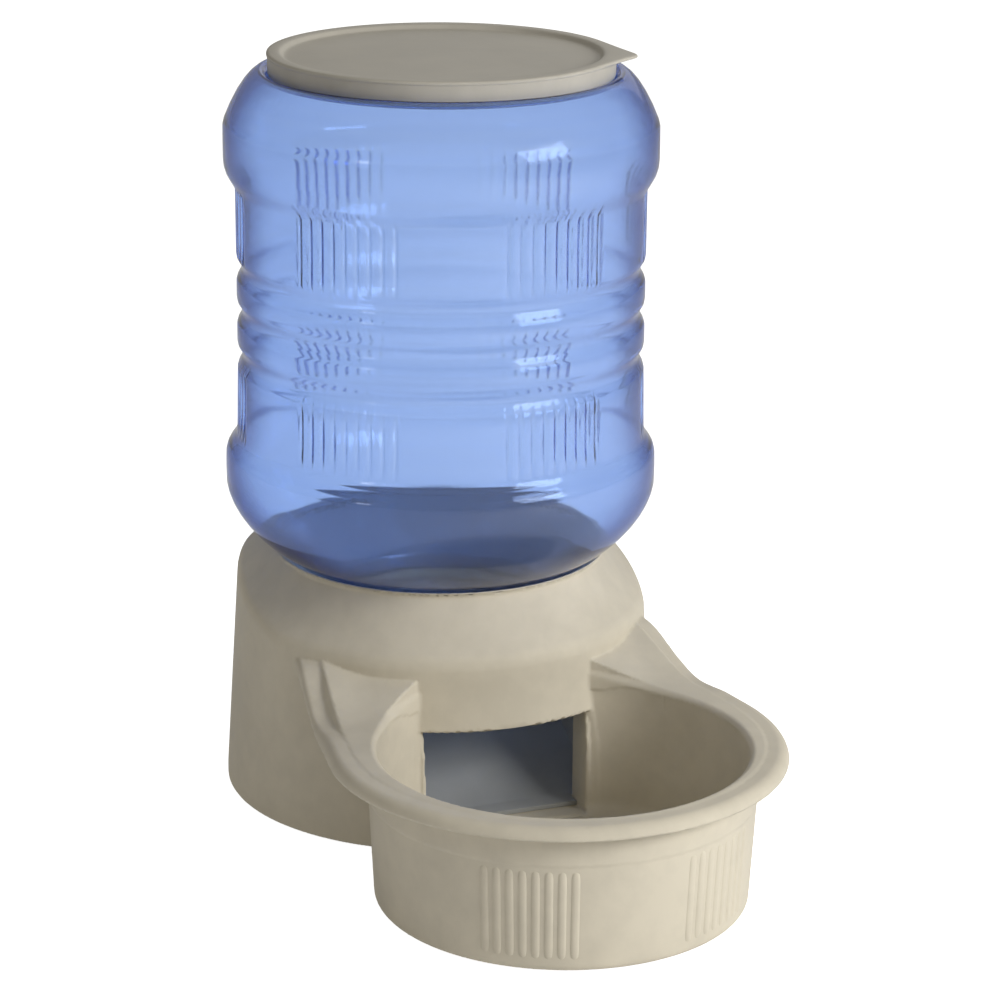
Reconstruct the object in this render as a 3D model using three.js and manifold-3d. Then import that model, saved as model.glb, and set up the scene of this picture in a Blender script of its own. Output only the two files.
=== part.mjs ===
// Gravity hopper feeder: a translucent hopper with a snap-on lid stands in the neck seat of a
// moulded base, and feed runs down a ramp inside the base, through a throat, into an open bowl.
// Millimetres, +Z up. The origin is on the floor at the middle of the whole outline; the hopper
// stands towards +Y and the bowl reaches towards -Y.

import * as THREE from 'three';
import { mergeVertices } from 'three/addons/utils/BufferGeometryUtils.js';
import Module from 'manifold-3d';

// Driving dimensions, worked from the hopper axis
const pedestalRadius = 119.2;      // widest ring of the pedestal, just above its rounded foot
const pedestalDraft = 0.06;        // radius lost for each millimetre of height
const bowlReach = 174.8;           // hopper axis to bowl axis
const rimRadius = 118.4;           // outer edge of the rolled bowl rim
const rimConvergence = 8.6;        // degrees that the cheeks' edges close in towards the hopper
const rimTop = 82.6;
const rimEdge = 74;                // lower edge of the rolled rim
const bowlFootRadius = 98.7;
const bowlDraft = 0.055;
const cavityFloorRadius = 92.6;
const cavityTopRadius = 95.4;
const bowlFloor = 8;
const turretRadius = 110.4;
const creaseFront = 104.1;         // foot of the sloping shoulder over the bowl
const creaseBack = 130;
const lipFront = { radius: 87.4, height: 136.2 };
const lipBack = { radius: 93.6, height: 140.2 };
const throatHalfWidth = 46;
const throatTop = 66;
const baseBottom = 1.5;            // the rubber feet hold the base this far off the floor
const wall = 3;
const seatNeckRadius = 59.8;       // bore of the collar that the hopper neck drops into
const seatNeckTop = 107;
const collarBottom = 92;

const neckRadius = 58.6;
const neckBottom = 98;
const panelRadius = 110.3;
const lowerPanelRadius = 110.9;
const lowerBulgeRadius = 117.3;
const upperBulgeRadius = 116.5;
const grooveDepth = 3.2;
const grooveHeights = [245, 269, 293];
const grooveHalfWidth = 6;
const mouthRadius = 90;
const mouthTop = 404;
const hopperWall = 1.6;

const lidRadius = 92.4;
const lidBottom = 396.8;
const lidTop = 408.8;
const tabReach = 12;
const tabAngle = 67;               // degrees round from the bowl side towards +X

const rampHalfWidth = 62;
const rampWall = 2.4;
const footRadius = 8;
const screwShankRadius = 1.6;
const fitGap = 0.3;
const seatGap = 0.6;               // between the hopper's underside and its seat

const roundSegments = 36;
const shellSegments = 48;
const hopperY = (bowlReach + rimRadius - pedestalRadius) / 2;
const bowlY = hopperY - bowlReach;

const wasm = await Module();
wasm.setup();

// Solids: closed meshes joined and cut as manifolds

function solidOf(geometry) {
  const bare = geometry.clone();
  bare.deleteAttribute('normal');
  bare.deleteAttribute('uv');
  const merged = mergeVertices(bare, 1e-4);
  return new wasm.Manifold(new wasm.Mesh({
    numProp: 3,
    vertProperties: new Float32Array(merged.attributes.position.array),
    triVerts: new Uint32Array(merged.index.array),
  }));
}

function geometryOf(solid) {
  const mesh = solid.getMesh();
  const geometry = new THREE.BufferGeometry();
  geometry.setAttribute('position', new THREE.BufferAttribute(mesh.vertProperties, 3));
  geometry.setIndex(new THREE.BufferAttribute(mesh.triVerts, 1));
  geometry.computeVertexNormals();
  return geometry;
}

function cutAll(solid, cutters) {
  return cutters.reduce((left, cutter) => left.subtract(cutter), solid);
}

function joinAll(solids) {
  return solids.reduce((left, right) => left.add(right));
}

// A lathe about +Z of an outline of [radius, height] points; a ring's outline is closed on itself
function turned(points, segments = roundSegments) {
  const outline = points.map(([radius, height]) => new THREE.Vector2(radius, height));
  if (outline[0].x > 0) {
    outline.push(outline[0].clone());
  }
  const geometry = new THREE.LatheGeometry(outline, segments);
  geometry.rotateX(Math.PI / 2);
  return geometry;
}

function turnedSolid(points, x = 0, y = 0, segments = roundSegments) {
  return solidOf(turned(points, segments).translate(x, y, 0));
}

function boxSolid(low, high) {
  const size = high.map((value, axis) => value - low[axis]);
  const middle = high.map((value, axis) => (value + low[axis]) / 2);
  return solidOf(new THREE.BoxGeometry(...size).translate(...middle));
}

function discSolid(x, y, radius, bottom, top, segments = 24) {
  const geometry = new THREE.CylinderGeometry(radius, radius, top - bottom, segments);
  geometry.rotateX(Math.PI / 2);
  return solidOf(geometry.translate(x, y, (top + bottom) / 2));
}

// A side outline of [y, z] points, extruded across X
function sideProfileSolid(points, halfWidth) {
  const shape = new THREE.Shape(points.map(([y, z]) => new THREE.Vector2(y, z)));
  const geometry = new THREE.ExtrudeGeometry(shape, { depth: 2 * halfWidth, bevelEnabled: false });
  geometry.translate(0, 0, -halfWidth);
  geometry.rotateX(Math.PI / 2);
  geometry.rotateZ(Math.PI / 2);
  return solidOf(geometry);
}

// A cylinder whose rings are moved to place(angle, row): angle 0 faces the bowl, + towards +X
function ringedSolid(rowCount, segments, place) {
  const geometry = new THREE.CylinderGeometry(1, 1, 1, segments, rowCount - 1);
  geometry.rotateX(Math.PI / 2);
  const position = geometry.attributes.position;
  for (let i = 0; i < position.count; i += 1) {
    const x = position.getX(i);
    const y = position.getY(i);
    const row = Math.round((position.getZ(i) + 0.5) * (rowCount - 1));
    const onAxis = Math.hypot(x, y) < 0.5;
    const moved = place(Math.atan2(x, -y), row, onAxis);
    position.setXYZ(i, moved.x, moved.y, moved.z);
  }
  return solidOf(geometry);
}

// The pedestal: a drafted drum, with a turret face over the bowl and a hood that rises behind

function pedestalCone(height) {
  return pedestalRadius - pedestalDraft * (height - 8);
}

function frontness(angle) {
  const degrees = Math.abs(THREE.MathUtils.radToDeg(angle));
  return 1 - THREE.MathUtils.smoothstep(degrees, 48, 72);
}

function creaseHeight(angle) {
  const degrees = Math.abs(THREE.MathUtils.radToDeg(angle));
  const rise = THREE.MathUtils.smoothstep(degrees, 62, 125);
  return THREE.MathUtils.lerp(creaseFront, creaseBack, rise);
}

// Rings of the pedestal, moved inwards by inset: three round the foot, four up the wall and
// four over the shoulder to the lip round the hopper
function pedestalSolid(inset, bottom) {
  const wallHeights = [bottom, bottom + 2, 8, 40, 78, 92];
  const wallPull = [5, 1.6, 0, 0, 0, 0];
  const shoulder = [0, 0.12, 0.55, 1];
  const rows = wallHeights.length + shoulder.length;
  return ringedSolid(rows, shellSegments, (angle, row, onAxis) => {
    const front = frontness(angle);
    const crease = creaseHeight(angle);
    const facing = THREE.MathUtils.lerp(pedestalCone(crease), turretRadius, front);
    let radius;
    let height;
    if (row < wallHeights.length) {
      height = wallHeights[row];
      const plain = pedestalCone(height) - wallPull[row];
      const blend = front * THREE.MathUtils.smoothstep(height, 45, 92);
      radius = THREE.MathUtils.lerp(plain, turretRadius, blend) - inset;
    } else {
      const along = shoulder[row - wallHeights.length];
      const back = THREE.MathUtils.smoothstep(crease, creaseFront, creaseBack);
      const lipRadius = THREE.MathUtils.lerp(lipFront.radius, lipBack.radius, back);
      const lipHeight = THREE.MathUtils.lerp(lipFront.height, lipBack.height, back);
      const bow = 1.8 * Math.sin(Math.PI * along) * (1 - back);
      radius = THREE.MathUtils.lerp(facing, lipRadius, along) - bow - inset;
      height = THREE.MathUtils.lerp(crease, lipHeight, along) - inset;
    }
    if (onAxis) {
      radius = 0;
      if (row === rows - 1) {
        height = lipFront.height - inset;
      }
    }
    return {
      x: radius * Math.sin(angle),
      y: hopperY - radius * Math.cos(angle),
      z: height,
    };
  });
}

// The rolled rim: rings that follow a keyhole outline, the bowl's circle with tangents that
// close in towards the hopper. Each ring is inset from the outline and has its own height
function keyholeRing(angle, inset) {
  const turn = THREE.MathUtils.degToRad(rimConvergence);
  const overBowl = Math.abs(angle) <= Math.PI / 2 + turn + 1e-6;
  const farRadius = rimRadius - bowlReach * Math.sin(turn);
  return {
    radius: (overBowl ? rimRadius : farRadius) - inset,
    centreY: overBowl ? bowlY : hopperY,
  };
}

const cheekStart = hopperY - 130;
const cheekApex = hopperY - 58;
const cheekRise = 15;

function cheekHeight(y) {
  const along = THREE.MathUtils.clamp((y - cheekStart) / (cheekApex - cheekStart), 0, 1);
  return rimTop + cheekRise * along ** 1.8;
}

function rimSolid(inset, bottom) {
  const roll = [
    [0, bottom],
    [0, 77],
    [2.5, 80.2],
    [7, 82],
    [11, rimTop],
  ];
  return ringedSolid(roll.length, shellSegments, (angle, row, onAxis) => {
    const [step, height] = roll[row];
    const ring = keyholeRing(angle, step + inset);
    const radius = onAxis ? 0 : ring.radius;
    const centreY = onAxis ? bowlY : ring.centreY;
    return {
      x: radius * Math.sin(angle),
      y: centreY - radius * Math.cos(angle),
      z: row === 0 ? height : height - inset,
    };
  });
}

// The cheeks: inside the rim's crest the top climbs back to a point on each side of the turret
function cheekSolid(inset, bottom) {
  const steps = 8;
  const climb = [];
  for (let i = 0; i <= steps; i += 1) {
    const y = THREE.MathUtils.lerp(cheekStart, cheekApex, i / steps);
    climb.push([y, cheekHeight(y) - inset]);
  }
  const sideOutline = [
    [cheekStart, bottom],
    ...climb,
    [hopperY, cheekHeight(cheekApex) - inset],
    [hopperY, bottom],
  ];
  const plan = ringedSolid(3, shellSegments, (angle, row, onAxis) => {
    const ring = keyholeRing(angle, inset + [1, 1, 10][row]);
    const radius = onAxis ? 0 : ring.radius;
    return {
      x: radius * Math.sin(angle),
      y: (onAxis ? bowlY : ring.centreY) - radius * Math.cos(angle),
      z: [bottom, 84 - inset, 100][row],
    };
  });
  return sideProfileSolid(sideOutline, rimRadius).intersect(plan);
}

function buildBaseShell() {
  const far = 200;
  const pedestalOuter = pedestalSolid(0, baseBottom);
  const pedestalInner = pedestalSolid(wall, baseBottom - 4);
  const bowlOuter = turnedSolid([
    [0, baseBottom],
    [bowlFootRadius - 8, baseBottom],
    [bowlFootRadius - 2.3, baseBottom + 3],
    [bowlFootRadius + 0.4, baseBottom + 9],
    [bowlFootRadius + bowlDraft * 76, 76],
    [bowlFootRadius + bowlDraft * 76, rimTop - 1],
    [0, rimTop - 1],
  ], 0, bowlY, shellSegments);
  const cavity = turnedSolid([
    [0, bowlFloor],
    [cavityFloorRadius - 9, bowlFloor],
    [cavityFloorRadius - 2.6, bowlFloor + 2.6],
    [cavityFloorRadius, bowlFloor + 9],
    [cavityTopRadius, 78],
    [cavityTopRadius + 1.8, 81],
    [cavityTopRadius + 5, rimTop],
    [cavityTopRadius + 5, far],
    [0, far],
  ], 0, bowlY, shellSegments);
  const belowValance = boxSolid([-far, -far - 200, -far], [far, far, throatTop]);
  const throat = boxSolid(
    [-throatHalfWidth, hopperY - 105, bowlFloor],
    [throatHalfWidth, hopperY - 60, far],
  );

  const pedestalShell = cutAll(pedestalOuter, [pedestalInner, cavity.intersect(belowValance)]);
  const bowlUnder = turnedSolid([
    [0, baseBottom - 2],
    [bowlFootRadius - 14, baseBottom - 2],
    [bowlFootRadius - 14, bowlFloor - wall],
    [0, bowlFloor - wall],
  ], 0, bowlY);
  const bowlShell = cutAll(bowlOuter, [cavity, throat.intersect(pedestalInner), bowlUnder]);
  const rimOuter = rimSolid(0, rimEdge).add(cheekSolid(0, rimEdge));
  const rimInner = rimSolid(wall, rimEdge - 6).add(cheekSolid(wall, rimEdge - 6));
  const rimShell = cutAll(rimOuter, [rimInner, cavity, pedestalInner]);

  // Funnel seat and collar for the hopper neck, cut to the underside of the hopper
  const seat = turnedSolid([
    [seatNeckRadius, collarBottom],
    [seatNeckRadius + wall, collarBottom],
    [seatNeckRadius + wall, seatNeckTop - 3],
    [lipFront.radius - 0.4, lipFront.height - 6],
    [lipFront.radius - 0.4, lipFront.height],
    [seatNeckRadius, lipFront.height],
  ], 0, hopperY);
  const underside = movedInwards(hopperOutline().filter((point) => point.y < 190), -seatGap);
  const opening = turnedSolid([
    [0, collarBottom - 10],
    [seatNeckRadius, collarBottom - 10],
    ...underside.slice(1).map((point) => [point.x, point.y]),
    [lowerBulgeRadius, far],
    [0, far],
  ], 0, hopperY);

  // Bosses that take the ramp screws, and pads that the feet sit on
  const bosses = screwPlaces().map(([x, y]) => discSolid(x, y, 5, earTop + fitGap, 122, 16));
  const pilots = screwPlaces().map(([x, y]) => discSolid(x, y, 1.8, earTop - 5, 112, 12));
  const pads = footPlaces()
    .filter(([, , onBowl]) => !onBowl)
    .map(([x, y]) => discSolid(x, y, footRadius + 2, 3 + fitGap, 8, 16).intersect(pedestalOuter));

  const aboveSeat = turnedSolid([
    [0, seatNeckTop + 12],
    [seatNeckRadius + 9, seatNeckTop + 12],
    [lipFront.radius - 2, lipFront.height],
    [0, lipFront.height],
  ], 0, hopperY);
  const trimmedBosses = bosses.map((boss) => boss.subtract(aboveSeat));
  const shell = joinAll([pedestalShell, bowlShell, rimShell, seat, ...trimmedBosses, ...pads]);
  return cutAll(shell, [opening, ...pilots]);
}

// The feed ramp: a channel that closes the pedestal underneath and slopes to the throat

const rampFront = hopperY - 83;
const rampBack = hopperY + 66;
const rampFloorFront = bowlFloor + fitGap;
const rampFloorBack = 88;
const earTop = 99;
const earThickness = 3;

function screwPlaces() {
  const places = [];
  for (const side of [-1, 1]) {
    for (const along of [-34, 34]) {
      places.push([side * (rampHalfWidth + 7.5), hopperY + along]);
    }
  }
  return places;
}

function buildFeedRamp() {
  const outer = sideProfileSolid([
    [rampFront, rampFloorFront],
    [rampFront + 6, rampFloorFront],
    [rampBack, rampFloorBack - rampWall],
    [rampBack, earTop],
    [rampFront + 14, earTop],
    [rampFront, 60],
  ], rampHalfWidth);
  const inner = sideProfileSolid([
    [rampFront - 1, rampFloorFront + rampWall],
    [rampFront + 5, rampFloorFront + rampWall],
    [rampBack - rampWall, rampFloorBack],
    [rampBack - rampWall, earTop + 1],
    [rampFront - 1, earTop + 1],
  ], rampHalfWidth - rampWall);
  const tongue = boxSolid(
    [-throatHalfWidth + 0.6, rampFront - 9.5, rampFloorFront],
    [throatHalfWidth - 0.6, rampFront + 2, rampFloorFront + rampWall],
  );
  const ears = screwPlaces().map(([x, y]) => {
    const inside = Math.sign(x) * (rampHalfWidth - rampWall + 0.4);
    const plate = boxSolid(
      [Math.min(x, inside), y - 6, earTop - earThickness],
      [Math.max(x, inside), y + 6, earTop],
    );
    return plate.add(discSolid(x, y, 6, earTop - earThickness, earTop, 16));
  });
  const holes = screwPlaces().map(([x, y]) => discSolid(x, y, 2.2, earTop - 10, earTop + 10, 12));
  // The collar hangs into the channel, so the channel's walls are relieved round it
  const relief = turnedSolid([
    [0, collarBottom - 2],
    [seatNeckRadius + wall + 1, collarBottom - 2],
    [seatNeckRadius + wall + 1, earTop + 8],
    [0, earTop + 8],
  ], 0, hopperY);
  return cutAll(joinAll([outer, tongue, ...ears]), [inner, relief, ...holes]);
}

function buildScrew() {
  const headTop = earTop - earThickness - fitGap;
  return turned([
    [0, headTop - 2.6],
    [2.4, headTop - 2.4],
    [3.7, headTop - 1.4],
    [3.7, headTop],
    [screwShankRadius, headTop],
    [screwShankRadius, headTop + 13],
    [0, headTop + 15],
  ], 16);
}

// Six rubber feet: four under the pedestal wall, two under the front of the bowl

function footPlaces() {
  const places = [];
  for (const angle of [80, 150, 210, 280]) {
    const turn = THREE.MathUtils.degToRad(angle);
    places.push([106 * Math.sin(turn), hopperY - 106 * Math.cos(turn), false]);
  }
  for (const side of [-1, 1]) {
    places.push([side * 52, bowlY - 42, true]);
  }
  return places;
}

function buildFoot(onBowl) {
  const top = onBowl ? bowlFloor - wall - fitGap : 3;
  return turned([
    [0, 0],
    [footRadius - 1, 0],
    [footRadius, 1],
    [footRadius, top],
    [0, top],
  ], 24);
}

// The hopper: one blow-moulded wall from the neck to the mouth

function hopperOutline() {
  const path = new THREE.Path();
  path.moveTo(neckRadius, neckBottom);
  path.lineTo(neckRadius, seatNeckTop);
  path.lineTo(84, 133.6);
  path.bezierCurveTo(98, 141.5, 115, 157, lowerBulgeRadius, 174);
  path.lineTo(lowerBulgeRadius, 189);
  path.bezierCurveTo(lowerBulgeRadius, 197, lowerPanelRadius, 196, lowerPanelRadius, 204);
  for (const middle of grooveHeights) {
    path.lineTo(panelRadius, middle - grooveHalfWidth);
    const deepest = panelRadius - 2 * grooveDepth;
    path.quadraticCurveTo(deepest, middle, panelRadius, middle + grooveHalfWidth);
  }
  path.lineTo(panelRadius, 337);
  path.bezierCurveTo(111.5, 340.5, upperBulgeRadius, 344, upperBulgeRadius, 352);
  path.lineTo(upperBulgeRadius, 371);
  path.bezierCurveTo(114.5, 377, 105, 399, 96, 399.6);
  path.quadraticCurveTo(93.6, 399.4, 93.4, 396);
  path.lineTo(mouthRadius, 395.6);
  path.lineTo(mouthRadius, mouthTop);
  return path.getPoints(3);
}

// The same outline moved in by the wall thickness, square to the wall at each point
function movedInwards(outline, distance) {
  return outline.map((point, index) => {
    const before = outline[Math.max(index - 1, 0)];
    const after = outline[Math.min(index + 1, outline.length - 1)];
    const along = after.clone().sub(before).normalize();
    return new THREE.Vector2(point.x - along.y * distance, point.y + along.x * distance);
  });
}

function buildHopper() {
  const outer = hopperOutline();
  const inner = movedInwards(outer, hopperWall).reverse();
  const geometry = new THREE.LatheGeometry([...outer, ...inner, outer[0]], roundSegments);
  geometry.rotateX(Math.PI / 2);
  return geometryOf(solidOf(geometry));
}

// The lid: a dished disc whose skirt closes over the mouth, with a pull tab on its edge

function buildLid() {
  const plateTop = lidTop - 2.4;
  const plateBottom = mouthTop + 0.5;
  const skirtInner = mouthRadius + 0.7;
  const disc = turnedSolid([
    [0, plateBottom],
    [skirtInner, plateBottom],
    [skirtInner, lidBottom],
    [lidRadius, lidBottom],
    [lidRadius, lidTop - 1.2],
    [lidRadius - 1.2, lidTop],
    [lidRadius - 6.5, lidTop],
    [lidRadius - 8.5, plateTop],
    [0, plateTop],
  ]);
  const root = THREE.MathUtils.degToRad(24);
  const tip = lidRadius + tabReach;
  const start = new THREE.Vector2(Math.cos(root), Math.sin(root)).multiplyScalar(lidRadius - 1);
  const shape = new THREE.Shape();
  shape.moveTo(lidRadius - 20, -start.y);
  shape.lineTo(start.x, -start.y);
  shape.quadraticCurveTo(tip - 7, -15, tip - 2, -5);
  shape.quadraticCurveTo(tip + 2, 0, tip - 2, 5);
  shape.quadraticCurveTo(tip - 7, 15, start.x, start.y);
  shape.lineTo(lidRadius - 20, start.y);
  const tab = new THREE.ExtrudeGeometry(shape, {
    depth: 2.2, bevelEnabled: false, curveSegments: 6,
  });
  tab.translate(0, 0, lidTop - 2.6);
  const trimmed = solidOf(tab).subtract(discSolid(0, 0, lidRadius - 5, lidTop - 4, lidTop + 4, 48));
  const turn = tabAngle - 90;
  return disc.add(trimmed.rotate([0, 0, turn]));
}

// Assembly

function material(color, roughness) {
  return new THREE.MeshStandardMaterial({ color, roughness, metalness: 0 });
}

const feeder = new THREE.Group();

function place(name, geometry, finish, y = 0) {
  const mesh = new THREE.Mesh(geometry, finish);
  mesh.name = name;
  mesh.position.y = y;
  feeder.add(mesh);
  return mesh;
}

place('base_shell', geometryOf(buildBaseShell()), material(0xcfc8b8, 0.45));
place('feed_ramp', geometryOf(buildFeedRamp()), material(0x8c8f8e, 0.5));
place('hopper', buildHopper(), material(0x6f8fd8, 0.18), hopperY);
place('lid', geometryOf(buildLid()), material(0xcfc8b8, 0.45), hopperY);

screwPlaces().forEach(([x, y], index) => {
  const screw = place(`ramp_screw_${index + 1}`, buildScrew(), material(0xa9abad, 0.35), y);
  screw.material.metalness = 1;
  screw.position.x = x;
});

footPlaces().forEach(([x, y, onBowl], index) => {
  const foot = place(`rubber_foot_${index + 1}`, buildFoot(onBowl), material(0x2c2c2e, 0.85), y);
  foot.position.x = x;
});

export default feeder;
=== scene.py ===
import math

import bpy
import numpy as np
from mathutils import Matrix, Vector


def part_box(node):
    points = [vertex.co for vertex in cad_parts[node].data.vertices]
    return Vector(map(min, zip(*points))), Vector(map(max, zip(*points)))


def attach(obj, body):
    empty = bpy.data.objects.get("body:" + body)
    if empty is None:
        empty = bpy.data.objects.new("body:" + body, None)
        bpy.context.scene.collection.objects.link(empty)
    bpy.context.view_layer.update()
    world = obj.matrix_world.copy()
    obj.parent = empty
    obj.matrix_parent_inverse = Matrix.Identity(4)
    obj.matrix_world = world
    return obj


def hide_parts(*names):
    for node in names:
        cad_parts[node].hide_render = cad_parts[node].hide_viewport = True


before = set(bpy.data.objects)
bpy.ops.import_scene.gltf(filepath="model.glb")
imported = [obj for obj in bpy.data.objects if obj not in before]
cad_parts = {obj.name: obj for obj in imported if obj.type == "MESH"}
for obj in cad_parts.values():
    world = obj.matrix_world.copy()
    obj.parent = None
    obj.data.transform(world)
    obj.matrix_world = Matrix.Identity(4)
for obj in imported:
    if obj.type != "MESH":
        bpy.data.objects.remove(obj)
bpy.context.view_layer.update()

millimetre = 0.001

# places come from the frame, and every shape below is in millimetres
hopperLow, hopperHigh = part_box("hopper")
hopperY = (hopperLow.y + hopperHigh.y) / 2 / millimetre
bowlReach = 174.8
bowlY = hopperY - bowlReach
wellReach = 182.0         # the bowl's own round wall stands a little forward of its rim


# small helpers for node trees

class Wire:
    # one output socket, so shader maths reads as ordinary expressions
    def __init__(self, bench, socket):
        self.bench = bench
        self.socket = socket

    def __add__(self, other):
        return self.bench.maths("ADD", self, other)

    def __radd__(self, other):
        return self.bench.maths("ADD", other, self)

    def __sub__(self, other):
        return self.bench.maths("SUBTRACT", self, other)

    def __rsub__(self, other):
        return self.bench.maths("SUBTRACT", other, self)

    def __mul__(self, other):
        return self.bench.maths("MULTIPLY", self, other)

    def __rmul__(self, other):
        return self.bench.maths("MULTIPLY", other, self)

    def __truediv__(self, other):
        return self.bench.maths("DIVIDE", self, other)

    def __pow__(self, other):
        return self.bench.maths("POWER", self, other)

    def __lt__(self, other):
        return self.bench.maths("LESS_THAN", self, other)

    def __gt__(self, other):
        return self.bench.maths("GREATER_THAN", self, other)


class Step:
    # one node, whose outputs are read by name or number
    def __init__(self, bench, made):
        self.bench = bench
        self.made = made

    def __getitem__(self, key):
        return Wire(self.bench, pickSocket(self.made.outputs, key))


class Bench:
    def __init__(self, tree):
        self.tree = tree

    def node(self, kind, settings=None, sockets=None):
        made = self.tree.nodes.new(kind)
        for key, value in (settings or {}).items():
            if key == "stops":
                fillRamp(made.color_ramp, value)
            else:
                setattr(made, key, value)
        for key, value in (sockets or {}).items():
            socket = pickSocket(made.inputs, key)
            if isinstance(value, Wire):
                self.tree.links.new(value.socket, socket)
            else:
                socket.default_value = value
        return Step(self, made)

    def maths(self, operation, first, second):
        return self.node("ShaderNodeMath", {"operation": operation}, {0: first, 1: second})[0]

    def blendColours(self, factor, first, second):
        return self.node("ShaderNodeMix", {"data_type": "RGBA"},
                         {"Factor": factor, "A": first, "B": second})["Result"]

    def noise(self, place, scale, detail=2.0, roughness=0.5):
        return self.node("ShaderNodeTexNoise", {}, {"Vector": place, "Scale": scale, "Detail": detail,
                                                    "Roughness": roughness})["Fac"]

    def bump(self, height, strength, distance, under=None):
        sockets = {"Height": height, "Strength": strength, "Distance": distance}
        if under is not None:
            sockets["Normal"] = under
        return self.node("ShaderNodeBump", {}, sockets)["Normal"]

    def tones(self, factor, *stops):
        return self.node("ShaderNodeValToRGB", {"stops": stops}, {"Fac": factor})["Color"]

    def vector(self, x=0.0, y=0.0, z=0.0):
        return self.node("ShaderNodeCombineXYZ", {}, {"X": x, "Y": y, "Z": z})[0]

    def position(self):
        return self.node("ShaderNodeSeparateXYZ", {}, {0: self.node("GeometryNodeInputPosition")[0]})

    def pushed(self, geometry, direction, amount):
        # moves each point along a direction, taken as a unit length
        unit = self.node("ShaderNodeVectorMath", {"operation": "NORMALIZE"}, {0: direction})[0]
        offset = self.node("ShaderNodeVectorMath", {"operation": "SCALE"}, {0: unit, "Scale": amount})[0]
        return self.node("GeometryNodeSetPosition", {}, {"Geometry": geometry,
                                                         "Offset": offset})["Geometry"]


def pickSocket(sockets, key):
    if isinstance(key, int):
        return sockets[key]
    return next(s for s in sockets if s.name == key and s.enabled)


def fillRamp(ramp, stops):
    while len(ramp.elements) < len(stops):
        ramp.elements.new(1.0)
    for element, (place, colour) in zip(ramp.elements, stops):
        element.position = place
        element.color = colour


def newMaterial(name):
    material = bpy.data.materials.new(name)
    material.use_nodes = True
    material.node_tree.nodes.clear()
    return material, Bench(material.node_tree)


def runTree(source, tree, values, name):
    # the tree's result as a plain mesh object, with the modifier gone
    modifier = source.modifiers.new("build", "NODES")
    modifier.node_group = tree
    for item in tree.interface.items_tree:
        if item.item_type == "SOCKET" and item.in_out == "INPUT" and item.name in values:
            modifier[item.identifier] = values[item.name]
    bpy.context.view_layer.update()
    graph = bpy.context.evaluated_depsgraph_get()
    mesh = bpy.data.meshes.new_from_object(source.evaluated_get(graph), depsgraph=graph)
    source.modifiers.remove(modifier)
    bpy.data.objects.remove(source)
    mesh.name = name
    made = bpy.data.objects.new(name, mesh)
    bpy.context.scene.collection.objects.link(made)
    return made


def newTree(name, inputs):
    tree = bpy.data.node_groups.new(name, "GeometryNodeTree")
    tree.interface.new_socket("Geometry", in_out="INPUT", socket_type="NodeSocketGeometry")
    for label, kind in inputs.items():
        tree.interface.new_socket(label, in_out="INPUT", socket_type=kind)
    tree.interface.new_socket("Geometry", in_out="OUTPUT", socket_type="NodeSocketGeometry")
    bench = Bench(tree)
    given = bench.node("NodeGroupInput")
    return tree, bench, given


def closeTree(bench, geometry, material):
    real = bench.node("GeometryNodeRealizeInstances", None, {"Geometry": geometry})["Geometry"]
    painted = bench.node("GeometryNodeSetMaterial", None,
                         {"Geometry": real, "Material": material})["Geometry"]
    bench.node("NodeGroupOutput", None, {"Geometry": painted})


def meshObject(name, points, faces, material=None):
    mesh = bpy.data.meshes.new(name)
    mesh.from_pydata((np.asarray(points, float) * millimetre).tolist(), [], faces)
    mesh.validate()
    mesh.update()
    made = bpy.data.objects.new(name, mesh)
    bpy.context.scene.collection.objects.link(made)
    if material:
        mesh.materials.append(material)
    return made


def worked(piece):
    # the piece with its modifiers worked into its mesh
    graph = bpy.context.evaluated_depsgraph_get()
    piece.data = bpy.data.meshes.new_from_object(piece.evaluated_get(graph), depsgraph=graph)
    piece.modifiers.clear()
    return piece


def shadeSmooth(piece):
    piece.data.polygons.foreach_set("use_smooth", [True] * len(piece.data.polygons))
    piece.data.update()


# finishes

mouldedLook = {
    "mottle": 0.05,          # slow change of tone over the moulding
    "grainSize": 1500.0,     # spark-eroded grain, in cells for each metre
    "grainHeight": 0.00003,
    "pitSize": 900.0,
    "swellHeight": 0.00012,  # slow unevenness that softens reflections
}


def mouldedPlastic(name, colour, roughness):
    # satin moulded plastic: fine even grain, faint flow mottling, slightly uneven sheen
    material, bench = newMaterial(name)
    place = bench.node("ShaderNodeTexCoord")["Object"]
    slow = bench.noise(place, 16.0, 3.0, 0.55)
    patch = bench.noise(place, 75.0, 4.0, 0.6)
    grain = bench.noise(place, mouldedLook["grainSize"])
    pits = bench.node("ShaderNodeTexVoronoi", {}, {"Vector": place, "Scale": mouldedLook["pitSize"]})
    tone = (slow - 0.5) * 1.2 + (patch - 0.5) * 0.8 + 0.5
    span = mouldedLook["mottle"]
    dark = [c * (1 - span) for c in colour] + [1]
    light = [min(c * (1 + span), 1) for c in colour] + [1]
    paint = bench.tones(tone, (0.3, dark), (0.7, light))
    sheen = (patch - 0.5) * 0.16 + (grain - 0.5) * 0.08 + roughness
    fine = bench.bump(grain + pits["Distance"] * 0.5, 0.35, mouldedLook["grainHeight"])
    surface = bench.bump(slow, 0.35, mouldedLook["swellHeight"], fine)
    shader = bench.node("ShaderNodeBsdfPrincipled", {}, {
        "Base Color": paint, "Roughness": sheen, "Normal": surface, "IOR": 1.49})
    bench.node("ShaderNodeOutputMaterial", {}, {"Surface": shader["BSDF"]})
    return material


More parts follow.
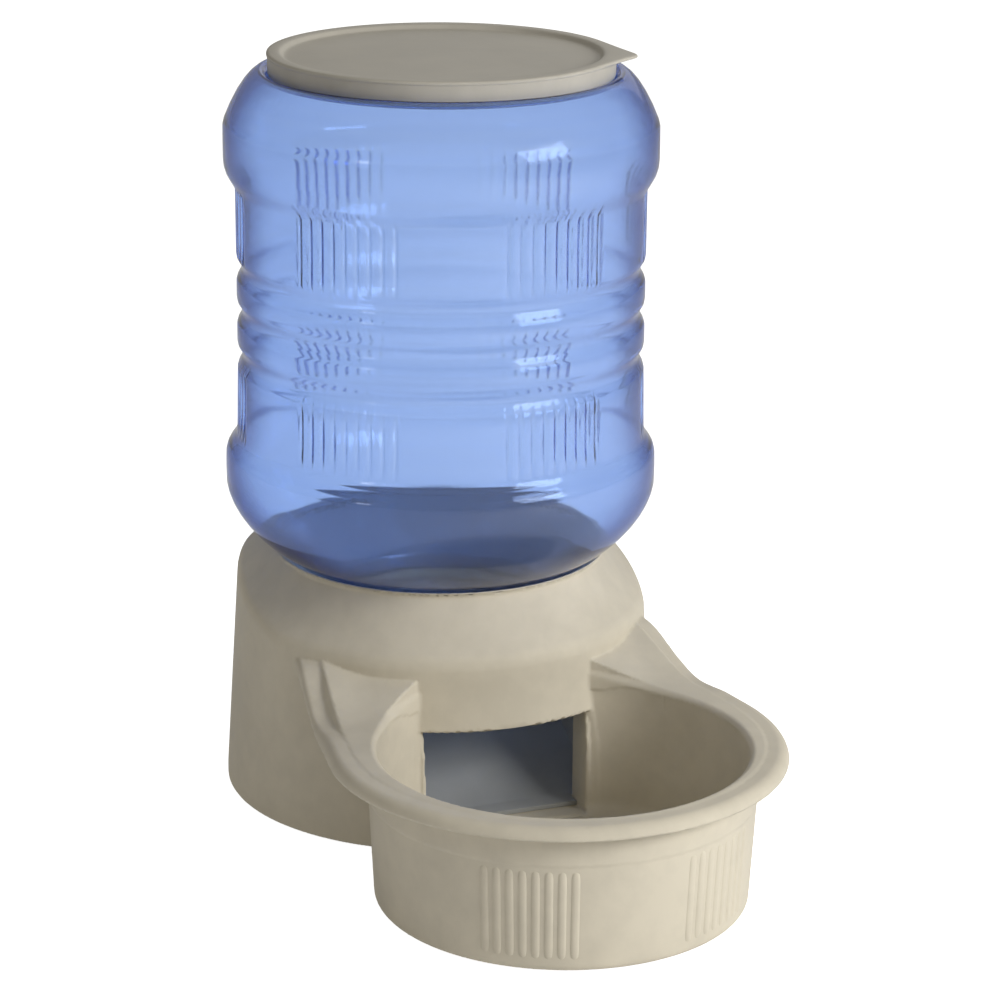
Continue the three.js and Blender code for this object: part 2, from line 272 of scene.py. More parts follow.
hopperLook = {
    "colour": (0.76, 0.825, 0.91, 1.0),
    "edge": (0.06, 0.10, 0.30, 1.0),           # where the wall is seen along its length
    "clearness": 0.95,                         # the rest is a faint milky haze
    "density": 310.0,                          # absorption for each metre of wall
    "passed": (0.16, 0.42, 0.84, 1.0),
    "roughness": 0.06,
    "ior": 1.46,
    "shadow": (0.66, 0.67, 0.68, 1.0),         # light that the wall lets through to what is inside
}


def blownPlastic(name):
    # clear blue blow-moulded wall: tint comes from its depth, with faint draw lines and orange peel
    material, bench = newMaterial(name)
    place = bench.node("ShaderNodeTexCoord")["Object"]
    stretched = bench.node("ShaderNodeMapping", {}, {"Vector": place, "Scale": (1.0, 1.0, 0.25)})["Vector"]
    peel = bench.noise(stretched, 95.0, 3.0)
    wave = bench.noise(stretched, 22.0)
    haze = bench.noise(place, 40.0, 4.0)
    bump = bench.bump(peel * 0.4 + wave, 0.1, 0.0006)
    facing = bench.node("ShaderNodeLayerWeight", {}, {"Blend": 0.5})["Facing"]
    along = bench.node("ShaderNodeMapRange", {"interpolation_type": "SMOOTHSTEP"}, {
        "Value": facing, "From Min": 0.42, "From Max": 0.84})["Result"]
    tint = bench.blendColours(along, hopperLook["colour"], hopperLook["edge"])
    shader = bench.node("ShaderNodeBsdfPrincipled", {}, {
        "Base Color": tint, "Roughness": (haze - 0.5) * 0.06 + hopperLook["roughness"],
        "IOR": hopperLook["ior"], "Transmission Weight": hopperLook["clearness"], "Normal": bump})
    see = bench.node("ShaderNodeBsdfTransparent", {}, {"Color": hopperLook["shadow"]})
    path = bench.node("ShaderNodeLightPath")
    mixed = bench.node("ShaderNodeMixShader", {}, {0: path["Is Shadow Ray"], 1: shader["BSDF"],
                                                   2: see["BSDF"]})
    depth = bench.node("ShaderNodeVolumeAbsorption", {}, {"Color": hopperLook["passed"],
                                                          "Density": hopperLook["density"]})
    bench.node("ShaderNodeOutputMaterial", {}, {"Surface": mixed[0], "Volume": depth["Volume"]})
    return material


def zincSteel(name):
    material, bench = newMaterial(name)
    place = bench.node("ShaderNodeTexCoord")["Object"]
    grain = bench.noise(place, 900.0, 3.0)
    cloud = bench.noise(place, 260.0)
    paint = bench.tones(cloud, (0.3, (0.46, 0.47, 0.47, 1)), (0.7, (0.66, 0.66, 0.64, 1)))
    bump = bench.bump(grain, 0.3, 0.00003)
    shader = bench.node("ShaderNodeBsdfPrincipled", {}, {
        "Base Color": paint, "Metallic": 1.0, "Roughness": (grain - 0.5) * 0.2 + 0.32,
        "Normal": bump})
    bench.node("ShaderNodeOutputMaterial", {}, {"Surface": shader["BSDF"]})
    return material


def blackRubber(name):
    material, bench = newMaterial(name)
    place = bench.node("ShaderNodeTexCoord")["Object"]
    dust = bench.noise(place, 420.0, 4.0)
    paint = bench.tones(dust, (0.35, (0.018, 0.018, 0.019, 1)), (0.8, (0.045, 0.044, 0.042, 1)))
    bump = bench.bump(dust, 0.4, 0.00006)
    shader = bench.node("ShaderNodeBsdfPrincipled", {}, {
        "Base Color": paint, "Roughness": dust * 0.2 + 0.72, "Normal": bump})
    bench.node("ShaderNodeOutputMaterial", {}, {"Surface": shader["BSDF"]})
    return material


basePlastic = mouldedPlastic("basePlastic", (0.62, 0.565, 0.45), 0.46)
# the lid is the base's moulded plastic made darker, painting in the shade that falls on the lid's top
lidPlasticPaintedShade = mouldedPlastic("lidPlasticPaintedShade", (0.47, 0.44, 0.375), 0.42)
rampPlastic = mouldedPlastic("rampPlastic", (0.36, 0.365, 0.355), 0.48)
hopperPlastic = blownPlastic("hopperPlastic")
screwSteel = zincSteel("screwSteel")
footRubber = blackRubber("footRubber")
print("finishes made")


# hopper: one thin wall turned from an outline, then fluted by the tree

hopper = {
    "wall": 1.6,
    "neckRadius": 58.6,
    "neckBottom": 98.0,
    "seatNeckTop": 107.0,
    "lowerBulge": 117.3,
    "lowerPanel": 110.9,
    "panel": 110.3,
    "upperBulge": 116.5,
    "grooves": (245.0, 269.0, 293.0),
    "grooveHalf": 6.0,
    "grooveDepth": 3.2,
    "mouth": 90.0,
    "mouthTop": 404.0,
    "fluteStart": -47.0,     # degrees from the bowl side to the middle of the first group
    "flutePitch": 3.7,
    "fluteGaps": 8,          # a group is one more narrow groove than this
    "fluteDepth": 1.3,
}


def bezier(points, steps):
    t = np.linspace(0, 1, steps + 1)[1:, None]
    p = np.array(points, float)
    if len(p) == 3:
        return (1 - t) ** 2 * p[0] + 2 * t * (1 - t) * p[1] + t ** 2 * p[2]
    return ((1 - t) ** 3 * p[0] + 3 * t * (1 - t) ** 2 * p[1] + 3 * t ** 2 * (1 - t) * p[2]
            + t ** 3 * p[3])


def hopperOutline():
    h = hopper
    line = [[h["neckRadius"], h["neckBottom"]], [h["neckRadius"], h["seatNeckTop"]], [84, 133.6]]

    def bend(*points):
        line.extend(bezier([line[-1], *points], 24).tolist())

    bend([98, 141.5], [115, 157], [h["lowerBulge"], 174])
    line.append([h["lowerBulge"], 189])
    bend([h["lowerBulge"], 197], [h["lowerPanel"], 196], [h["lowerPanel"], 204])
    for middle in h["grooves"]:
        line.append([h["panel"], middle - h["grooveHalf"]])
        bend([h["panel"] - 2 * h["grooveDepth"], middle], [h["panel"], middle + h["grooveHalf"]])
    line.append([h["panel"], 337])
    bend([111.5, 340.5], [h["upperBulge"], 344], [h["upperBulge"], 352])
    line.append([h["upperBulge"], 371])
    bend([114.5, 377], [105, 399], [96, 399.6])
    bend([93.6, 399.4], [93.4, 396])
    line.append([h["mouth"], 395.6])
    line.append([h["mouth"], h["mouthTop"]])
    return np.array(line)


def evenLine(line, pitch):
    steps = np.hypot(*np.diff(line, axis=0).T)
    keep = np.r_[True, steps > 1e-6]
    line = line[keep]
    along = np.r_[0, np.cumsum(np.hypot(*np.diff(line, axis=0).T))]
    even = np.linspace(0, along[-1], int(along[-1] / pitch) + 1)
    return np.stack([np.interp(even, along, line[:, 0]), np.interp(even, along, line[:, 1])], 1)


def softened(line, reach):
    # rounds an evenly stepped outline, keeping its two ends
    offsets = np.arange(-3 * reach, 3 * reach + 1)
    weights = np.exp(-0.5 * (offsets / reach) ** 2)
    padded = np.concatenate([2 * line[0] - line[1:3 * reach + 1][::-1], line,
                             2 * line[-1] - line[-3 * reach - 1:-1][::-1]])
    return np.stack([np.convolve(padded[:, i], weights / weights.sum(), "valid") for i in (0, 1)], 1)


def thinned(line, tolerance, longest):
    # drops points that lie on a straight run, keeping steps under the longest
    kept = [0]
    for i in range(1, len(line) - 1):
        last, ahead = line[kept[-1]], line[i + 1]
        run = ahead - last
        length = np.hypot(*run)
        between = line[kept[-1] + 1:i + 1] - last
        off = np.abs(between[:, 0] * run[1] - between[:, 1] * run[0]) / max(length, 1e-9)
        if off.max() > tolerance or length > longest:
            kept.append(i)
    kept.append(len(line) - 1)
    return line[kept]


def outlineNormals(line):
    along = np.gradient(line, axis=0)
    along /= np.hypot(*along.T)[:, None]
    return np.stack([along[:, 1], -along[:, 0]], 1)


def latheMesh(name, ring, angles, centreY, material):
    # ring is a closed outline of radius and height; points on the axis are shared
    points, faces, rows = [], [], []
    for radius, height in ring:
        if radius < 1e-6:
            rows.append([len(points)] * len(angles))
            points.append((0, centreY, height))
            continue
        rows.append(list(range(len(points), len(points) + len(angles))))
        points.extend((radius * math.sin(a), centreY - radius * math.cos(a), height) for a in angles)
    for low, high in zip(rows, rows[1:] + rows[:1]):
        if low[0] == low[-1] and high[0] == high[-1]:
            continue
        for i in range(len(angles)):
            j = (i + 1) % len(angles)
            corners = [low[i], low[j], high[j], high[i]]
            faces.append([c for n, c in enumerate(corners) if c not in corners[:n]])
    return meshObject(name, points, faces, material)


def fluteAngles():
    # fine steps where the flutes are, coarse steps between them
    pitch, gaps = hopper["flutePitch"], hopper["fluteGaps"]
    half = pitch * (gaps + 1) / 2
    across = np.array([-0.5, -0.33, -0.22, -0.145, -0.08, -0.025, 0.025, 0.08, 0.145, 0.22, 0.33])
    angles = []
    for group in range(6):
        middle = hopper["fluteStart"] + 60 * group
        for flute in range(gaps + 1):
            angles.extend(middle - half + pitch * (flute + 0.5 + across))
        angles.extend(np.linspace(middle + half, middle + 60 - half, 13, endpoint=False))
    return np.radians(angles)


def fluteTree():
    tree, bench, given = newTree("fluting", {
        "Start": "NodeSocketFloat", "Pitch": "NodeSocketFloat", "Gaps": "NodeSocketFloat",
        "Depth": "NodeSocketFloat", "Centre": "NodeSocketFloat", "LowPanelBottom": "NodeSocketFloat",
        "LowPanelTop": "NodeSocketFloat", "HighPanelBottom": "NodeSocketFloat",
        "HighPanelTop": "NodeSocketFloat", "Material": "NodeSocketMaterial"})
    spot = bench.position()
    across = spot["X"]
    along = given["Centre"] - spot["Y"]
    angle = bench.maths("ARCTAN2", across, along) * (180 / math.pi) - given["Start"]
    # degrees from the middle of the nearest of six groups
    folded = bench.maths("PINGPONG", angle + 720.0, 30.0)
    half = given["Pitch"] * (given["Gaps"] + 1) * 0.5
    phase = folded / given["Pitch"] * (2 * math.pi)
    groove = (bench.maths("COSINE", phase, 0.0) * 0.5 + 0.5) ** 4
    inGroup = folded < half
    height = spot["Z"]

    def rise(low, high):
        return bench.node("ShaderNodeMapRange", {"interpolation_type": "SMOOTHSTEP"}, {
            "Value": height, "From Min": low, "From Max": high})["Result"]

    def panel(low, high):
        return rise(low, low + 0.003) * (1 - rise(high - 0.003, high))

    inPanel = (panel(given["LowPanelBottom"], given["LowPanelTop"])
               + panel(given["HighPanelBottom"], given["HighPanelTop"]))
    push = 0 - groove * inGroup * inPanel * given["Depth"]
    moved = bench.pushed(given["Geometry"], bench.vector(across, 0 - along), push)
    closeTree(bench, moved, given["Material"])
    return tree


def buildHopper():
    outer = softened(evenLine(hopperOutline(), 0.5), 3)
    inner = outer - outlineNormals(outer) * hopper["wall"]
    ring = np.concatenate([thinned(outer, 0.1, 9.0), thinned(inner[::-1], 0.15, 9.0)])
    print("hopper outline rows:", len(ring))
    wall = latheMesh("hopperWall", ring, fluteAngles(), hopperY, hopperPlastic)
    made = runTree(wall, fluteTree(), {
        "Start": hopper["fluteStart"], "Pitch": hopper["flutePitch"], "Gaps": float(hopper["fluteGaps"]),
        "Depth": hopper["fluteDepth"] * millimetre, "Centre": hopperY * millimetre,
        "LowPanelBottom": 0.205, "LowPanelTop": 0.2385, "HighPanelBottom": 0.2995,
        "HighPanelTop": 0.3385, "Material": hopperPlastic}, "hopperWall")
    shadeSmooth(made)
    return made


hopperWall = buildHopper()
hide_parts("hopper")
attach(hopperWall, "hopper")
print("hopper made:", len(hopperWall.data.polygons), "faces")


# lid: dished disc with a skirt, a thin bead round its top edge and a pull tab

lid = {
    "radius": 92.4,
    "bead": 0.5,
    "bottom": 396.8,
    "top": 408.8,
    "skirtInner": 90.7,
    "plateTop": 406.4,
    "plateBottom": 404.5,
    "tabAngle": 67.0,
    "tabReach": 12.0,
    "tabHalf": 25.0,         # degrees from the tab's middle to where its flank leaves the lid
    "tabThickness": 2.2,
}


def tabReachAt(offset):
    # how far the edge stands out at an angle from the middle of the tab
    away = abs(offset)
    if away >= lid["tabHalf"]:
        return 0.0
    blunt = math.hypot(away, 2.2) - 0.9
    left = math.radians(max(lid["tabHalf"] - blunt, 0))
    tangent = (lid["radius"] + lid["bead"]) * (1 / math.cos(left) - 1)
    full = (lid["radius"] + lid["bead"]) * (1 / math.cos(math.radians(lid["tabHalf"])) - 1)
    share = max(1 - blunt / lid["tabHalf"], 0)
    return tangent + (lid["tabReach"] - lid["bead"] - full + 0.8) * share ** 4


def buildLid():
    beside = np.concatenate([np.arange(-lid["tabHalf"], -6, 1.0), np.arange(-6, 6, 0.5),
                             np.arange(6, lid["tabHalf"], 1.0)])
    rest = np.arange(lid["tabHalf"], 360 - lid["tabHalf"], 2.0)
    angles = np.radians(np.concatenate([beside, rest]) + lid["tabAngle"])
    reach = np.array([tabReachAt((math.degrees(a) - lid["tabAngle"] + 180) % 360 - 180) for a in angles])
    edge, top = lid["radius"], lid["top"]
    bead, thick = lid["bead"], lid["tabThickness"]
    # radius, height, share of the tab's reach that the row takes
    rows = [(0, lid["plateTop"] + 0.2, 0), (30, lid["plateTop"] + 0.15, 0), (60, lid["plateTop"], 0),
            (76, lid["plateTop"] - 0.25, 0), (82.6, lid["plateTop"] - 0.3, 0),
            (83.9, lid["plateTop"] - 0.1, 0), (84.8, lid["plateTop"] + 0.9, 0), (85.4, top - 0.6, 0),
            (86.3, top, 0), (edge - 2.4, top, 0), (edge + bead - 1.0, top, 0.94),
            (edge + bead - 0.3, top - 0.3, 0.985), (edge + bead, top - 0.9, 1),
            (edge + bead, top - thick + 0.5, 1), (edge + bead - 0.4, top - thick, 0.97),
            (edge + 0.1, top - thick - 0.1, 0.2), (edge, top - thick - 0.5, 0),
            (edge, lid["bottom"] + 0.8, 0), (edge - 0.3, lid["bottom"] + 0.1, 0),
            (edge - 0.6, lid["bottom"], 0), (lid["skirtInner"] + 0.4, lid["bottom"], 0),
            (lid["skirtInner"], lid["bottom"] + 0.5, 0), (lid["skirtInner"], lid["plateBottom"] - 1, 0),
            (lid["skirtInner"] - 1, lid["plateBottom"], 0), (60, lid["plateBottom"] - 0.1, 0),
            (0, lid["plateBottom"], 0)]
    points, faces, rings = [], [], []
    for radius, height, share in rows:
        if radius == 0:
            rings.append([len(points)] * len(angles))
            points.append((0, hopperY, height))
            continue
        rings.append(list(range(len(points), len(points) + len(angles))))
        droop = 0.5 if share > 0.1 else 0
        for a, r in zip(angles, reach):
            out = radius + share * r
            points.append((out * math.sin(a), hopperY - out * math.cos(a), height - droop * r / 12))
    for high, low in zip(rings, rings[1:]):
        for i in range(len(angles)):
            j = (i + 1) % len(angles)
            corners = [high[i], low[i], low[j], high[j]]
            faces.append([c for n, c in enumerate(corners) if c not in corners[:n]])
    made = meshObject("lidMoulding", points, faces, lidPlasticPaintedShade)
    rounding = made.modifiers.new("rounding", "SUBSURF")
    rounding.levels = 1
    rounding.render_levels = 1
    shadeSmooth(worked(made))
    return made


lidMoulding = buildLid()
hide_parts("lid")
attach(lidMoulding, "lid")
print("lid made:", len(lidMoulding.data.polygons), "faces")


# base: one moulding, described as a signed distance and skinned

base = {
    "step": 1.6,             # under half the wall, so that its two sides stay apart
    "faceLimit": 190000,
    "bottom": 0.7,
    "wall": 3.0,
    "footRound": 2.4,
    "pedestalRadius": 119.0,
    "pedestalDraft": 0.06,
    "turretRadius": 110.4,
    "creaseFront": 104.1,
    "creaseBack": 130.0,
    "shoulderRound": 3.2,
    "lipFront": (87.4, 136.2),
    "lipBack": (93.6, 140.2),
    "bowlRadius": 96.3,
    "bowlDraft": 0.055,
    "bowlRound": 4.0,
    "bandHeight": 58.0,      # the faint step round the bowl above its ribs
    "bandStep": 0.5,
    "cavityRadius": 92.4,
    "cavityDraft": 0.046,
    "cavityRound": 9.0,
    "floor": 8.0,
    "rimRadius": 118.4,
    "rimFar": 92.3,          # the rim outline closes in to this radius at the hopper's axis
    "rimTop": 82.6,
    "rimEdge": 75.8,
    "rimRound": 6.3,
    "cheekInset": 12.0,
    "cheekSlope": 0.36,
    "cheekRun": 54.0,
    "cheekStart": -113.0,
    "cheekBlend": 7.0,
    "cheekSolid": (-114, -98),   # no hollow under the cheeks behind this
    "lipRaised": (-142, -98),    # where the rim thins into the lip beside a cheek
    "lipDrop": 4.2,
    "lipTilt": 0.22,
    "throatHalf": 46.0,
    "throatTop": 66.0,
    "seatBore": 59.8,
    "seatTop": 107.0,
    "collarBottom": 92.0,
    "seatGap": 0.6,
    "liningBack": 83.5,
    "liningTop": 78,
    "bossAcross": 69.5,
    "bossAlong": 34,
    "padReach": 106,
    "padTurns": (80, 150),   # degrees from the bowl side, to the left and to the right
    "reach": 124,            # the skinned space, from the hopper's axis and the ground
    "front": -298,
    "height": 146,
}


def within(*sides):
    # the space on the inner side of every one of these
    found = sides[0]
    for side in sides[1:]:
        found = np.maximum(found, side)
    return found


def smooth(value, low, high):
    t = np.clip((value - low) / (high - low), 0, 1)
    return t * t * (3 - 2 * t)


def ramped(along, blend):
    # nothing before zero, then a steady climb, with a soft bend between
    return blend * np.logaddexp(0, along / blend)


def cut(a, b, r):
    # the space inside both, with its edge rounded
    return np.minimum(np.maximum(a, b), -r) + np.hypot(np.maximum(a + r, 0), np.maximum(b + r, 0))


def join(a, b, r):
    # the space inside either, with its inner corner filleted
    return np.maximum(np.minimum(a, b), r) - np.hypot(np.maximum(r - a, 0), np.maximum(r - b, 0))


def undersideTable():
    # signed distance to the hopper's lower outline, sampled in radius and height
    line = hopperOutline()
    line = line[line[:, 1] < 189.5]
    loop = np.concatenate([[[0, line[0, 1]]], line, [[line[-1, 0], 260], [0, 260]]])
    r = np.arange(0, 126, 0.5)
    z = np.arange(80, 190, 0.5)
    grid = np.stack(np.meshgrid(r, z, indexing="ij"), -1).reshape(-1, 2)
    best = np.full(len(grid), 1e9)
    inside = np.zeros(len(grid), bool)
    for a, b in zip(loop, np.roll(loop, -1, axis=0)):
        run = b - a
        t = np.clip(((grid - a) @ run) / max(run @ run, 1e-12), 0, 1)
        if not (a[0] == 0 and b[0] == 0):
            best = np.minimum(best, np.hypot(*(grid - a - t[:, None] * run).T))
        if a[1] != b[1]:
            crosses = (a[1] > grid[:, 1]) != (b[1] > grid[:, 1])
            inside ^= crosses & (grid[:, 0] < (b[0] - a[0]) * (grid[:, 1] - a[1]) / (b[1] - a[1]) + a[0])
    return np.where(inside, -best, best).reshape(len(r), len(z))


underside = undersideTable()


def hopperDistance(r, z):
    u = np.clip(r / 0.5, 0, underside.shape[0] - 1.001)
    v = np.clip((z - 80) / 0.5, 0, underside.shape[1] - 1.001)
    i, j = u.astype(int), v.astype(int)
    fu, fv = u - i, v - j
    table = underside
    found = (table[i, j] * (1 - fu) * (1 - fv) + table[i + 1, j] * fu * (1 - fv)
             + table[i, j + 1] * (1 - fu) * fv + table[i + 1, j + 1] * fu * fv)
    return found + np.maximum(80 - z, 0)


def keyhole(x, y):
    # distance to the rim outline: the bowl's circle with tangents closing in to the hopper
    lean = (base["rimRadius"] - base["rimFar"]) / bowlReach
    flat = math.sqrt(1 - lean * lean)
    side, along = np.abs(x), y + bowlReach
    k = -lean * side + flat * along
    nearBowl = np.hypot(side, along) - base["rimRadius"]
    nearHopper = np.hypot(side, along - bowlReach) - base["rimFar"]
    tangent = side * flat + along * lean - base["rimRadius"]
    return np.where(k < 0, nearBowl, np.where(k > flat * bowlReach, nearHopper, tangent))


def pedestalDistance(x, y, z, r, inset):
    angle = np.degrees(np.arctan2(np.abs(x), -y))
    front = 1 - smooth(angle, 48, 72)
    cone = base["pedestalRadius"] - base["pedestalDraft"] * np.maximum(z - 8, 0)
    radius = cone + (base["turretRadius"] - cone) * front * smooth(z, 45, 92)
    rise = smooth(angle, 62, 125)
    crease = base["creaseFront"] + (base["creaseBack"] - base["creaseFront"]) * rise
    coneTop = base["pedestalRadius"] - base["pedestalDraft"] * (crease - 8)
    facing = coneTop + (base["turretRadius"] - coneTop) * front
    back = smooth(crease, base["creaseFront"], base["creaseBack"])
    lipRadius = base["lipFront"][0] + (base["lipBack"][0] - base["lipFront"][0]) * back
    lipHeight = base["lipFront"][1] + (base["lipBack"][1] - base["lipFront"][1]) * back
    up, across = lipHeight - crease, facing - lipRadius
    slope = np.hypot(up, across)
    share = np.clip((z - crease) / up, 0, 1)
    bow = 1.8 * np.sin(math.pi * share) * (1 - back)
    shoulder = ((r - facing) * up + (z - crease) * across) / slope + bow
    body = cut(r - radius + inset, shoulder + inset, base["shoulderRound"])
    return cut(body, z - lipHeight + inset, 1.2)


def baseDistance(x, y, z):
    # x, y from the hopper's axis, z from the ground
    r = np.hypot(x, y)
    rb = np.hypot(x, y + wellReach)
    hollow = pedestalDistance(x, y, z, r, base["wall"])
    pedestal = cut(pedestalDistance(x, y, z, r, 0), base["bottom"] - z, base["footRound"])

    climb = base["cheekSlope"] * (ramped(y - base["cheekStart"], base["cheekBlend"])
                                  - ramped(y - base["cheekStart"] - base["cheekRun"], base["cheekBlend"]))
    local = base["rimTop"] + climb

    # bowl
    band = base["bandStep"] * smooth(z, base["bandHeight"] - 1, base["bandHeight"] + 1)
    bowlWall = rb - (base["bowlRadius"] + base["bowlDraft"] * z + band)
    bowl = cut(bowlWall, base["bottom"] - z, base["bowlRound"])
    bowl = cut(bowl, z - local + 1, 1.0)
    recess = np.maximum(rb - (base["bowlRadius"] - 14), z - (base["floor"] - base["wall"]))
    bowl = cut(bowl, -recess, 1.0)
    onBowl = 1 - smooth(climb, 0.3, 6)
    flare = (0.3 + 1.2 * onBowl) * np.clip((z - (local - 5)) / 5, 0, 1.15) ** 3
    cavityWall = rb - (base["cavityRadius"] + base["cavityDraft"] * np.clip(z - 17, 0, 80) + flare)
    cavity = cut(cavityWall, base["floor"] - z, base["cavityRound"])

    # rolled rim, open underneath, and the cheeks that climb to the turret
    edge = keyhole(x, y)
    raised = smooth(y, *base["lipRaised"])
    drop = base["lipDrop"] * raised * (1 - 0.6 * smooth(y, -90, -62))
    tilt = base["lipTilt"] * raised * (edge + 10)
    rim = cut(edge, z - local + drop + tilt, base["rimRound"] - 3.4 * raised)
    side = (edge + base["cheekInset"] + 0.55 * (z - local)) / 1.14
    cheek = cut(side, (z - local) / 1.04, 1.0)
    rolled = join(rim, cheek, 1.2)
    inside = (base["rimRound"] - base["wall"]) * (1 - 0.85 * raised)
    under = join(cut(edge + base["wall"], z - local + drop + base["wall"], inside),
                 np.maximum(side + base["wall"], z - local + base["wall"]), 1.5)
    under = under + 9 * smooth(y, *base["cheekSolid"])
    lower = base["rimEdge"] - 2.6 * raised + 0.87 * climb - z
    rolled = cut(cut(rolled, lower, 1.2), -under, 1.0)

    # funnel seat and collar for the hopper's neck
    lean = np.array([84.6 - base["seatBore"], 133.5 - base["seatTop"]])
    lean = lean / np.hypot(*lean)
    facing = (r - base["seatBore"]) * -lean[1] + (z - base["seatTop"]) * lean[0]
    funnel = within(facing, -facing - base["wall"], base["seatBore"] - r, z - base["lipFront"][1])
    collar = within(base["seatBore"] - r, r - base["seatBore"] - base["wall"],
                    base["collarBottom"] - z, z - base["seatTop"] - 1)
    seat = join(funnel, collar, 1.0)

    # bosses over the ramp's screws and pads over the feet
    extras = np.full_like(r, 99.0)
    for along in (-base["bossAlong"], base["bossAlong"]):
        boss = np.hypot(np.abs(x) - base["bossAcross"], y - along) - 5
        extras = np.minimum(extras, within(boss, 99.3 - z, z - 122))
    for turn in base["padTurns"]:
        across, along = (base["padReach"] * f(math.radians(turn)) for f in (math.sin, math.cos))
        pad = np.hypot(np.abs(x) - across, y + along) - 10
        extras = np.minimum(extras, within(pad, 3.3 - z, z - 8, pedestal))

    # throat, with the sill and the side walls that lead the feed through it
    throat = within(np.abs(x) - base["throatHalf"], base["floor"] - z, -108 - y, y + 60)
    sill = within(np.abs(x) - base["throatHalf"] - 3, -106 - y, y + 84, z - base["floor"],
                  base["floor"] - base["wall"] - z)
    shell = cut(pedestal, -hollow, 0.8)
    window = np.maximum(np.minimum(cavityWall, throat), z - base["throatTop"])
    shell = cut(shell, -window, 0.8)
    bowl = cut(cut(bowl, -cavity, 1.0), -np.maximum(throat, hollow), 0.8)
    inner = base["throatHalf"] - np.abs(x)
    jambs = within(inner, -inner - 3, -104 - y, y + base["liningBack"])
    wings = within(inner, -inner - 17, -86.5 - y, y + base["liningBack"])
    lining = within(np.minimum(jambs, wings), 5 - z, z - base["liningTop"])
    bowl = join(bowl, np.maximum(np.minimum(sill, lining), hollow), 0.5)
    rolled = cut(cut(rolled, -cavity, 1.0), -hollow, 0.6)
    moulded = join(join(shell, rolled, 0.8), bowl, 1.5)
    moulded = join(moulded, seat, 1.2)
    moulded = join(moulded, extras, 0.8)
    opening = np.minimum(hopperDistance(r, z) - base["seatGap"], np.maximum(r - base["seatBore"], 86 - z))
    return cut(moulded, -opening, 0.7)


def skin(field, step, origin):
    # one point in each cell that the surface passes, and a face for each crossed grid edge
    inside = field < 0
    corners = [(i, j, k) for i in (0, 1) for j in (0, 1) for k in (0, 1)]
    nx, ny, nz = (n - 1 for n in field.shape)
    count = sum(inside[i:i + nx, j:j + ny, k:k + nz].astype(np.int8) for i, j, k in corners)
    active = (count > 0) & (count < 8)
    number = np.full(active.shape, -1, np.int64)
    number[active] = np.arange(active.sum())
    cells = np.argwhere(active)
    values = {c: field[cells[:, 0] + c[0], cells[:, 1] + c[1], cells[:, 2] + c[2]] for c in corners}
    total = np.zeros((len(cells), 3))
    share = np.zeros(len(cells))
    for a in corners:
        for axis in range(3):
            if a[axis]:
                continue
            b = tuple(v + (n == axis) for n, v in enumerate(a))
            fa, fb = values[a], values[b]
            crossed = (fa < 0) != (fb < 0)
            t = np.where(crossed, fa / np.where(crossed, fa - fb, 1), 0)
            spot = np.tile(np.array(a, float), (len(cells), 1))
            spot[:, axis] += t
            total += spot * crossed[:, None]
            share += crossed
    points = (cells + total / share[:, None]) * step + origin
    floors = cells * step + origin
    faces = []
    for axis in range(3):
        u, v = (axis + 1) % 3, (axis + 2) % 3
        low = np.take(inside, range(inside.shape[axis] - 1), axis)
        high = np.take(inside, range(1, inside.shape[axis]), axis)
        for flip in (False, True):
            hits = np.argwhere((low & ~high) if not flip else (~low & high))
            hits = hits[(hits[:, u] > 0) & (hits[:, v] > 0)]
            hits = hits[(hits[:, u] < inside.shape[u] - 1) & (hits[:, v] < inside.shape[v] - 1)]
            around = []
            for du, dv in ((-1, -1), (0, -1), (0, 0), (-1, 0)):
                cell = hits.copy()
                cell[:, u] += du
                cell[:, v] += dv
                around.append(number[cell[:, 0], cell[:, 1], cell[:, 2]])
            quads = np.stack(around, 1)
            faces.append(quads[:, ::-1] if flip else quads)
    return points, floors, np.concatenate(faces)


def slopeAt(points, reach=0.06):
    slopes = []
    for axis in range(3):
        shift = np.zeros(3)
        shift[axis] = reach
        ahead, behind = points + shift, points - shift
        slopes.append((baseDistance(*ahead.T) - baseDistance(*behind.T)) / (2 * reach))
    return np.stack(slopes, 1)


def settle(points, rounds, floors, step):
    # slides each point along the slope until it lies on the surface, inside its own cell
    for _ in range(rounds):
        distance = baseDistance(*points.T)
        slope = slopeAt(points)
        size = np.maximum((slope ** 2).sum(1), 0.25)
        points = points - distance[:, None] * slope / size[:, None]
        points = np.clip(points, floors + 0.04 * step, floors + 0.96 * step)
    return points


